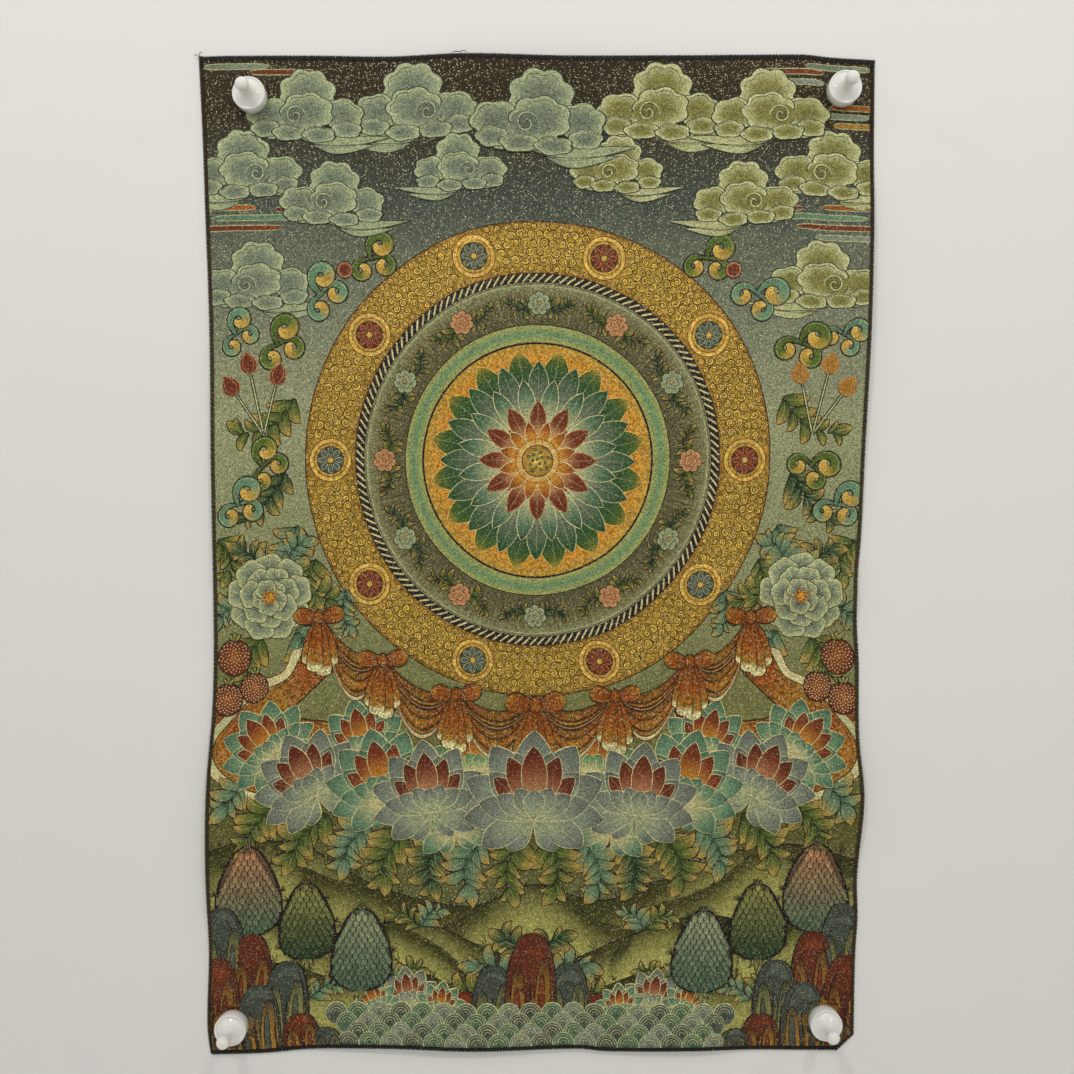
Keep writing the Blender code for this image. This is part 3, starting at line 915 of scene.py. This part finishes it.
def lotus_bank(work):
    teal, steel, pale = (TEAL, CREAM * 0.75), (STEEL * 0.85, SAGE * 1.1), (JADE * 0.9, CREAM * 0.8)
    maroon, amber = (MAROON, ROSE), (BRICK * 1.2, AMBER)
    for side in (-1, 1):
        for x, z, turn, size, outer, heart, layer in (
            (50, -194, 4, 0.95, pale, amber, 7), (156, -176, 16, 0.9, teal, amber, 7),
            (238, -176, 40, 0.95, teal, amber, 8), (72, -246, 10, 0.95, teal, amber, 12),
            (200, -214, 28, 1.1, steel, maroon, 13), (134, -218, 16, 1.15, teal, amber, 19),
        ):
            lotus(work, side * x, z, side * turn, size, outer, heart, layer)
    for side in (-1, 1):
        lotus(work, side * 94, -230, side * 8, 1.15, steel, maroon, 25)
    lotus(work, 0, -236, 0, 1.4, steel, maroon, 31)
    for x, z, turn, size, outer, heart, layer in (
        (-112, -410, -10, 0.62, steel, maroon, 12), (112, -410, 10, 0.62, steel, maroon, 12),
        (-84, -416, 6, 0.5, teal, amber, 17.5), (84, -416, -6, 0.5, teal, amber, 17.5),
        (-142, -414, -24, 0.5, teal, amber, 17.5), (142, -414, 24, 0.5, teal, amber, 17.5),
    ):
        lotus(work, x, z, turn, size, outer, heart, layer)


def leaves(work):
    for side in (-1, 1):
        leafy(work, side, (
            (((252, -190), (272, -206), (294, -236)), 30, TEAL),
            (((226, -212), (254, -236), (270, -268)), 30, FERN),
            (((188, -230), (214, -254), (226, -284)), 30, FERN),
            (((150, -238), (170, -262), (174, -290)), 28, TEAL),
            (((116, -246), (136, -274), (134, -304)), 30, FERN),
            (((84, -250), (96, -280), (86, -310)), 28, PINE * 1.4),
            (((44, -252), (62, -282), (52, -316)), 30, TEAL),
            (((12, -250), (24, -284), (12, -320)), 28, FERN),
        ), 3)
        leafy(work, side, (
            (((10, -392), (36, -372), (70, -376)), 26, TEAL),
            (((30, -404), (62, -398), (92, -412)), 26, FERN),
            (((0, -380), (14, -354), (40, -342)), 26, PINE * 1.4),
            (((126, -392), (112, -378), (96, -378)), 17, FERN),
            (((126, -392), (136, -376), (148, -372)), 17, TEAL),
            (((206, -404), (190, -392), (176, -396)), 17, TEAL),
            (((206, -404), (212, -388), (226, -382)), 17, FERN),
            (((104, -338), (118, -326), (134, -328)), 17, FERN),
            (((104, -338), (94, -324), (80, -322)), 17, TEAL),
        ), 5, 4)


def hills(work):
    back = (
        (-304, -262), (-262, -250), (-206, -262), (-140, -300), (-60, -316), (0, -296), (60, -310),
        (130, -286), (196, -262), (250, -258), (304, -272),
    )
    hill(work, back, LIME * 0.9, MOSS, 1, 76, (
        ((-240, -254), (-200, -286), (-140, -306)), ((-40, -314), (-90, -340), (-150, -350)),
        ((210, -262), (160, -300), (110, -316)), ((20, -300), (60, -330), (120, -340)),
    ))
    middle = (
        (-304, -316), (-250, -318), (-190, -342), (-110, -330), (-40, -356), (20, -372), (80, -346),
        (150, -324), (220, -330), (304, -312),
    )
    hill(work, middle, LIME * 1.05, MOSS * 0.9, 2.2, 72, (
        ((-130, -332), (-80, -360), (-50, -392)), ((90, -346), (60, -376), (70, -400)),
        ((160, -328), (190, -352), (190, -384)), ((-240, -322), (-210, -356), (-220, -390)),
    ))
    front = (
        (-304, -374), (-240, -366), (-180, -384), (-120, -372), (-60, -396), (0, -404), (60, -392),
        (124, -372), (190, -384), (250, -370), (304, -378),
    )
    hill(work, front, LIME * 0.95, MOSS * 0.8, 3.4, 72, (
        ((-150, -376), (-110, -400), (-120, -430)), ((130, -376), (160, -404), (150, -436)),
        ((50, -394), (20, -420), (40, -444)),
    ))


def trees(work):
    for side in (-1, 1):
        for x, z, wide, tall, top, low, layer in (
            (262, -298, 60, 84, ROSE * 0.9, TEAL * 0.6, 5), (209, -330, 52, 72, LIME * 0.7, PINE * 0.9, 13),
            (158, -358, 56, 78, SAGE, TEAL * 0.5, 21),
        ):
            tree(work, side * x, z, wide, tall, top, low, layer)


def crags(work):
    rust, blue, gold = BRICK * 0.9, SLATE * 0.8, OCHRE * 0.9
    for side in (-1, 1):
        for k, (x, foot, wide, tall, tint, low, lean) in enumerate((
            (288, -404, 44, 92, blue, LIME * 0.6, -3), (258, -424, 42, 86, rust, gold, 5),
            (226, -440, 44, 74, blue, LIME * 0.6, 3), (294, -446, 46, 86, rust, gold, -5),
            (254, -458, 44, 72, blue, gold, -3), (284, -464, 40, 54, rust * 0.8, LIME * 0.6, 2),
            (212, -460, 38, 44, rust, gold, 6), (188, -458, 30, 28, blue, LIME * 0.5, 8),
        )):
            crag(work, side * x, foot, wide, tall, tint, low, side * lean, 16 + 2.2 * k)
    for k, (x, wide, tall, tint, low) in enumerate((
        (-62, 38, 52, rust, gold), (60, 40, 50, rust, gold), (-34, 42, 76, blue, LIME * 0.6),
        (34, 42, 78, blue, LIME * 0.6), (0, 50, 106, rust, gold),
    )):
        crag(work, x, -448, wide, tall, tint, low, x * 0.08, 9 + 2.2 * k)


def water(work):
    for row in range(4):
        for k in range(-9, 10):
            x, z = k * 20 + (row % 2) * 10, -417 - row * 9
            if abs(x) < 186 - row * 4:
                wave(work, x, z, 10.5, (SLATE, TEAL * 0.7, STEEL * 0.9)[(k + row) % 3],
                     27 + row * 1.5 + k % 2 * 0.6)


# Materials

class Paint:
    """A material with the nodes that feed its shader."""

    def __init__(self, name, roughness=0.5):
        self.material = bpy.data.materials.new(name)
        self.material.use_nodes = True
        self.tree = self.material.node_tree
        self.shader = self.tree.nodes["Principled BSDF"]
        self.shader.inputs["Roughness"].default_value = roughness

    def feed(self, socket, value):
        """Gives an input a number, a colour or the output of another node."""
        if isinstance(value, (int, float)):
            socket.default_value = value
        elif isinstance(value, (tuple, np.ndarray)):
            socket.default_value = (*value, 1)
        else:
            self.tree.links.new(value, socket)

    def give(self, node, **inputs):
        """Feeds inputs by their names, with an underscore for a space."""
        for name, value in inputs.items():
            self.feed(node.inputs[name.replace("_", " ")], value)

    def add(self, kind, **inputs):
        """A new node, fed with what is given."""
        node = self.tree.nodes.new("ShaderNode" + kind)
        self.give(node, **inputs)
        return node

    def math(self, operation, *values):
        node = self.add("Math")
        node.operation = operation
        for socket, value in zip(node.inputs, values):
            self.feed(socket, value)
        return node.outputs[0]

    def mix(self, blend, share, first, second):
        node = self.add("Mix")
        node.data_type, node.blend_type = "RGBA", blend
        for place, value in ((0, share), (6, first), (7, second)):
            self.feed(node.inputs[place], value)
        return node.outputs[2]

    def carried(self):
        """The colour and the share of gold figuring that a mesh carries."""
        node = self.add("Attribute")
        node.attribute_name = "tint"
        return node.outputs["Color"], node.outputs["Alpha"]

    def relief(self, height, depth):
        """Low relief of the surface, depth in mm."""
        bump = self.add("Bump", Strength=0.5, Distance=depth * MM, Height=height)
        self.give(self.shader, Normal=bump.outputs[0])


GROUND_BANDS = (
    (0.0, dye(62, 62, 34)), (0.1, dye(96, 98, 62)), (0.24, dye(84, 84, 44)), (0.36, dye(108, 110, 66)),
    (0.5, dye(124, 128, 90)), (0.64, dye(136, 140, 106)), (0.76, dye(108, 114, 94)),
    (0.86, dye(67, 74, 66)), (0.94, dye(50, 44, 32)), (1.0, dye(50, 42, 30)),
)


def brocade(name, ground=False):
    """Woven silk with fine metal threads. The ground has its own bands of colour, motifs carry theirs."""
    paint = Paint(name)
    paint.give(paint.shader, Sheen_Weight=0.04, Sheen_Roughness=0.5, Specular_IOR_Level=0.25)
    place = paint.add("TexCoord").outputs["Object"]
    axes = paint.add("SeparateXYZ", Vector=place).outputs

    def cells(wide, tall, seed):
        """An even random number for each small run of thread."""
        column = paint.math("FLOOR", paint.math("DIVIDE", axes["X"], wide * MM))
        row = paint.math("FLOOR", paint.math("DIVIDE", axes["Z"], tall * MM))
        cell = paint.add("CombineXYZ", X=column, Y=row, Z=seed)
        return paint.add("TexWhiteNoise", Vector=cell.outputs[0]).outputs["Value"]

    def cloudy(size, detail):
        return paint.add("TexNoise", Vector=place, Scale=1 / (size * MM), Detail=detail).outputs["Fac"]

    grain, fine = cells(1.0, 0.75, 1), cells(0.55, 0.45, 2)
    fleck, bright = cells(0.72, 0.66, 3), cells(0.72, 0.66, 4)
    glint_from, glint_power = 0.89, 1.8
    if ground:
        ramp = paint.add("ValToRGB")
        while len(ramp.color_ramp.elements) < len(GROUND_BANDS):
            ramp.color_ramp.elements.new(0.5)
        for element, (at, tone) in zip(ramp.color_ramp.elements, GROUND_BANDS):
            element.position, element.color = at, (*tone, 1)
        drift = paint.math("MULTIPLY_ADD", cloudy(90, 2), 0.06, 0.47)
        up = paint.math("MULTIPLY_ADD", axes["Z"], 1 / (2 * HALF_HEIGHT * MM), drift)
        paint.feed(ramp.inputs[0], up)
        tint, figured, least_glint = ramp.outputs["Color"], 0.12, 0.75
    else:
        tint, figured = paint.carried()
        least_glint = 0.42
    mottle = paint.add("MapRange", Value=cloudy(2.6, 3), From_Min=0.38, From_Max=0.62, To_Min=0.55,
                       To_Max=1.45)
    shade = paint.math("MULTIPLY_ADD", grain, 0.96, 0.54)
    shade = paint.math("MULTIPLY_ADD", fine, 0.5, paint.math("SUBTRACT", shade, 0.25))
    toned = paint.mix("MULTIPLY", 1.0, tint, shade)
    toned = paint.mix("MULTIPLY", figured, toned, mottle.outputs[0])
    # Painted glints: a few runs of thread are mixed towards a pale colour at random strength and made
    # partly metallic; partly the pale metal threads' own colour, partly painted highlight
    bright = paint.math("POWER", bright, glint_power)
    sparkle = paint.math("MULTIPLY", paint.math("GREATER_THAN", fleck, glint_from), bright)
    glint = paint.math("MULTIPLY", sparkle, paint.math("MULTIPLY_ADD", figured, 0.5, least_glint))
    paint.give(
        paint.shader,
        Base_Color=paint.mix("MIX", glint, toned, dye(234, 224, 180)),
        Metallic=paint.math("MULTIPLY_ADD", figured, 0.3, paint.math("MULTIPLY", glint, 0.8)),
        Roughness=paint.math("MULTIPLY_ADD", fine, -0.18, 0.72),
    )
    twill = paint.add("TexWave", Vector=place, Scale=260, Distortion=1.5)
    twill.bands_direction = "DIAGONAL"
    height = paint.math("MULTIPLY_ADD", twill.outputs["Fac"], 0.5, grain)
    if not ground:
        height = paint.math("MULTIPLY_ADD", cloudy(2.6, 3), paint.math("MULTIPLY", figured, 3.0), height)
    paint.relief(height, 0.22)
    return paint.material


def thread_material():
    paint = Paint("overlock_thread", 0.7)
    noise = paint.add("TexNoise", Scale=900).outputs["Fac"]
    shade = paint.math("MULTIPLY_ADD", noise, 0.8, 0.6)
    paint.give(paint.shader, Base_Color=paint.mix("MULTIPLY", 1.0, paint.carried()[0], shade))
    paint.relief(noise, 0.1)
    return paint.material


def white_plastic():
    paint = Paint("gloss_white_plastic")
    noise = paint.add("TexNoise", Scale=120, Detail=4).outputs["Fac"]
    ramp = paint.add("ValToRGB")
    paint.feed(ramp.inputs[0], noise)
    for element, tone in zip(ramp.color_ramp.elements, ((0.78, 0.77, 0.74), (0.86, 0.86, 0.84))):
        element.color = (*tone, 1)
    gloss = paint.math("MULTIPLY_ADD", noise, 0.04, 0.04)
    paint.give(paint.shader, Base_Color=ramp.outputs[0], Roughness=gloss, Subsurface_Weight=0.1,
               Subsurface_Scale=2 * MM)
    return paint.material


# Pieces

def cloth_sheet(material):
    """The woven cloth: one thin closed sheet on the folds."""
    grid = bmesh.new()
    bmesh.ops.create_grid(grid, x_segments=CLOTH_GRID[0], y_segments=CLOTH_GRID[1], size=1.0)
    places = np.array([vertex.co[:] for vertex in grid.verts])
    x, z = outline(places[:, 0] * HALF_WIDTH, places[:, 1] * HALF_HEIGHT)
    y = -lift(x, z) - BACK_GAP
    for vertex, place in zip(grid.verts, np.stack([x, y, z], axis=-1) * MM):
        vertex.co = place
    corner_x, corner_z = outline(np.float64(HALF_WIDTH), np.float64(-HALF_HEIGHT))
    cut = ((corner_x - CORNER_CUT / 2) * MM, 0, (corner_z + CORNER_CUT / 2) * MM)
    cut_off(grid, cut, (1, 0, -1))
    bmesh.ops.recalc_face_normals(grid, faces=grid.faces[:])
    if sum(face.normal.y for face in grid.faces) > 0:
        bmesh.ops.reverse_faces(grid, faces=grid.faces[:])
    mesh = bpy.data.meshes.new("cloth_open")
    grid.to_mesh(mesh)
    grid.free()
    open_sheet = placed("cloth_open", mesh)
    thick = open_sheet.modifiers.new("thickness", "SOLIDIFY")
    thick.thickness = (THICKNESS - BACK_GAP) * MM
    thick.offset = 1.0
    graph = bpy.context.evaluated_depsgraph_get()
    solid = bpy.data.meshes.new_from_object(open_sheet.evaluated_get(graph))
    bpy.data.objects.remove(open_sheet, do_unlink=True)
    solid.name = "brocade_cloth"
    solid.materials.clear()
    solid.materials.append(material)
    solid.shade_smooth()
    piece = placed("brocade_cloth", solid)
    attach(piece, "root")
    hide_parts("cloth")
    return piece


def tube(work, path, radius, colour):
    """A round thread through world points in mm, closed to a point at both ends."""
    path = np.asarray(path, float)
    tangent = np.gradient(path, axis=0)
    tangent /= np.linalg.norm(tangent, axis=1, keepdims=True)
    guide = np.where(np.abs(tangent[:, 1:2]) > 0.9, (1.0, 0, 0), (0, 1.0, 0))
    first = np.cross(tangent, guide)
    first /= np.linalg.norm(first, axis=1, keepdims=True)
    second = np.cross(tangent, first)
    angle = np.linspace(0, 2 * pi, TUBE_SIDES + 1)
    size = np.full(len(path), radius)
    size[[0, -1]] = 0.02
    around = first[:, None] * np.cos(angle)[None, :, None] + second[:, None] * np.sin(angle)[None, :, None]
    points = (path[:, None] + around * size[:, None, None]) * MM
    work.grid(points[..., :2], points[..., 2], colour)


def rim_path():
    """Points round the cloth's edge every half millimetre, in mm on the wall, with the inward direction."""
    corner = np.array([(-1, -1), (-1, 1), (1, 1), (1, -1), (-1, -1)], float) * (HALF_WIDTH, HALF_HEIGHT)
    runs = [a + (b - a) * np.linspace(0, 1, 900)[:, None] for a, b in zip(corner[:-1], corner[1:])]
    flat = np.concatenate(runs)
    x, z = outline(flat[:, 0], flat[:, 1])
    corner_x, corner_z = outline(np.float64(HALF_WIDTH), np.float64(-HALF_HEIGHT))
    past = np.maximum(0, (x - corner_x) - (z - corner_z) + CORNER_CUT) / 2
    path = np.stack([x - past, z + past], axis=-1)
    step = np.linalg.norm(np.diff(path, axis=0), axis=1)
    along = np.concatenate([[0], np.cumsum(step)])
    at = np.arange(0, along[-1], 0.5)
    path = np.stack([np.interp(at, along, path[:, k]) for k in (0, 1)], axis=-1)
    return path, normals_of(path)


def overlock(material):
    """Close slanted stitches of thread over the cut edge, front and back."""
    work = Needlework("overlock_edge")
    path, inward = rim_path()
    tangent = np.stack([-inward[:, 1], inward[:, 0]], axis=-1)
    stitch_step, end_from = 3, 440
    for k in range(0, len(path) - 4, stitch_step):
        at_end = abs(path[k, 1]) > end_from
        depth = OVERLOCK_END if at_end else OVERLOCK_SIDE
        tone = (INK if at_end else UMBER * 0.85) * vary(0.6, 1.5)
        slant = vary(1.0, 1.8)
        shape = ((depth + vary(-0.4, 0.4), 1.0, 0.0), (depth * 0.7, 1.35, 0.2), (0.5, 1.4, 0.5),
                 (-0.35, 0.7, 0.65), (0.5, 0.35, 0.8), (depth * 0.8, 0.45, 1.0))
        points = []
        for inset, height, share in shape:
            place = path[k] + inward[k] * inset + tangent[k] * slant * share
            points.append((place[0], -lift(*(path[k] + inward[k] * max(0, inset))) - height, place[1]))
        tube(work, points, OVERLOCK_THREAD, tone)
    return work.make(material, carry=None)


def loose_threads(material):
    """The thread tails at the top left corner and along the top edge."""
    work = Needlework("loose_threads")
    corner_x, corner_z = outline(np.float64(-HALF_WIDTH), np.float64(HALF_HEIGHT))
    top_x, top_z = outline(np.float64(-68), np.float64(HALF_HEIGHT))
    tails = (
        ((1, -1, -1), (-1.5, -1.6, 1.5), (-3.5, -2, 1.8), (-4.6, -2.4, 0.4)),
        ((0.5, -1, 0), (0.2, -1.8, 2.4), (1.4, -2.4, 3.8), (3.0, -2.2, 3.6)),
    )
    for tail in tails:
        tube(work, np.array(tail) + (corner_x, 0, corner_z), TAIL_THREAD, INK)
    out = -lift(top_x, top_z)
    tail = np.array(((-9, -1.2, -0.5), (-5, -2, 1.6), (0, -2.2, 1.2), (4, -2.2, 2.4), (8, -1.4, 0)))
    tube(work, tail + (top_x, out, top_z), TAIL_THREAD, INK)
    return work.make(material, carry=None)


def push_pin(place, material):
    """One turned push pin: a round base with a raised rim, a hollow cone and a ball."""
    radius, base, bead, neck, ball = 14.5, 11.4, 1.0, 3.9, 6.0
    off_cloth, cone_top, ball_up = 1.5, 25.5, 32.6
    profile = []
    tuck = asin(neck / ball)
    for angle in np.linspace(0.02, pi - tuck, 18):
        profile.append((ball * sin(angle), ball_up + ball * cos(angle)))
    for share in np.linspace(0.06, 1, 14):
        spread = (radius - 2 * bead - neck) * share**1.8
        profile.append((neck + spread, cone_top + (base - cone_top) * share**0.8))
    for angle in np.radians((140, 110, 80, 50, 25, 0)):
        profile.append((radius - bead + bead * cos(angle), base - 0.3 + bead * sin(angle)))
    profile += [(radius, 6.0), (radius, 0.6), (radius - 0.6, 0.05), (0.02, 0.02)]
    work = Needlework("push_pin_" + place)
    across, up = np.array(profile).T
    angle = np.linspace(0, 2 * pi, 72, endpoint=False)
    pin_x, pin_z = PINS[place]
    x = pin_x + np.outer(np.cos(angle), across)
    z = pin_z + np.outer(np.sin(angle), across)
    y = np.broadcast_to(-off_cloth - up, x.shape)
    work.grid(np.stack([x, y], axis=-1) * MM, z * MM, np.ones(3), wrap=True)
    piece = work.make(material, carry=None)
    turned = bmesh.new()
    turned.from_mesh(piece.data)
    bmesh.ops.recalc_face_normals(turned, faces=turned.faces[:])
    turned.to_mesh(piece.data)
    turned.free()
    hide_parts("pin_" + place)


def set_stage():
    """A pale wall right behind the cloth, which shows only from the front, and a pale floor."""
    wall, floor = Paint("wall_paint", 0.8), Paint("floor_paint", 0.7)
    for paint in (wall, floor):
        paint.give(paint.shader, Base_Color=(0.8, 0.8, 0.79))
    either = wall.add("MixShader")
    shown = (wall.add("NewGeometry").outputs["Backfacing"], wall.shader.outputs[0],
             wall.add("BsdfTransparent").outputs[0])
    for socket, value in zip(either.inputs, shown):
        wall.feed(socket, value)
    wall.give(wall.tree.nodes["Material Output"], Surface=either.outputs[0])
    low, top, back, side, far = -1.2, 2.2, 0.0007, 3, 4
    wall_corners = ((-side, back, low), (side, back, low), (side, back, top), (-side, back, top))
    floor_corners = ((-far, -far, low), (far, -far, low), (far, far, low), (-far, far, low))
    for name, corners, paint in (("wall", wall_corners, wall), ("floor", floor_corners, floor)):
        mesh = bpy.data.meshes.new(name)
        mesh.from_pydata(corners, [], [(0, 1, 2, 3)])
        mesh.materials.append(paint.material)
        stage = placed(name, mesh)
        stage.visible_shadow = name != "wall"


def set_lights():
    """An even room, two small lamps that shine on the pins, and soft light from the sides and behind."""
    world = bpy.data.worlds.new("room")
    bpy.context.scene.world = world
    world.use_nodes = True
    around = world.node_tree.nodes["Background"].inputs
    around["Color"].default_value = (1.0, 0.975, 0.92, 1)
    around["Strength"].default_value = 0.42
    lamps = (
        ("ceiling_left", (-0.7, -1.5, 1.6), 0.16, 9),
        ("ceiling_right", (0.8, -1.6, 1.5), 0.14, 7),
        ("ceiling_wide", (0.0, -1.9, 1.3), 1.8, 9),
        ("side_right", (1.75, -0.6, 1.1), 0.32, 3.6),
        ("side_left", (-1.75, -0.7, 1.2), 0.32, 3.2),
        ("behind", (0.4, 1.8, 1.2), 1.5, 22),
    )
    for name, place, size, watts in lamps:
        lamp = bpy.data.lights.new(name, "AREA")
        lamp.size, lamp.energy = size, watts
        lamp.color = (1.0, 0.98, 0.93)
        light = placed(name, lamp)
        light.location = place
        light.rotation_euler = (-Vector(place)).to_track_quat("-Z", "Y").to_euler()
    bpy.context.scene.view_settings.view_transform = "Standard"


def set_camera():
    """Where the photograph was taken from, a metre away, with its small pitch, turn and roll."""
    frame_px, focal_px, foot_px = 1074, 1100, (540, 488)
    distance, roll = 0.9945, radians(0.4)
    into_wall = Vector((foot_px[0] - frame_px / 2, foot_px[1] - frame_px / 2, focal_px)).normalized()
    right = Vector((0, 1, 0)).cross(into_wall).normalized()
    down = into_wall.cross(right)
    right, down = (right * cos(roll) + down * sin(roll), down * cos(roll) - right * sin(roll))
    seen = Matrix((right, -down, into_wall)).transposed()
    turn = Matrix([[seen[k][0], seen[k][2], seen[k][1]] for k in range(3)])
    axes = Matrix((turn[0], -turn[1], -turn[2])).transposed()
    camera = bpy.data.cameras.new("camera")
    camera.sensor_width = 36
    camera.lens = 36 * focal_px / frame_px
    camera.clip_start = 0.01
    eye = placed("camera", camera)
    eye.matrix_world = Matrix.Translation((0.0045, -distance, 0.0696)) @ axes.to_4x4()
    bpy.context.scene.camera = eye


def main():
    set_camera()
    woven, ground = brocade("woven_motifs"), brocade("woven_ground", ground=True)
    thread = thread_material()
    sheet = cloth_sheet(ground)
    designs = (
        roundel_ground, roundel_scrolls, roundel_wreath, roundel_petals, clouds, vines, flowers, scarves,
        hills, leaves, lotus_bank, trees, crags, water,
    )
    worked = []
    for design in designs:
        work = Needlework(design.__name__)
        design(work)
        worked.append(work.make(woven))
    worked += [overlock(thread), loose_threads(thread)]
    plastic = white_plastic()
    for place in PINS:
        push_pin(place, plastic)
    set_stage()
    set_lights()


main()
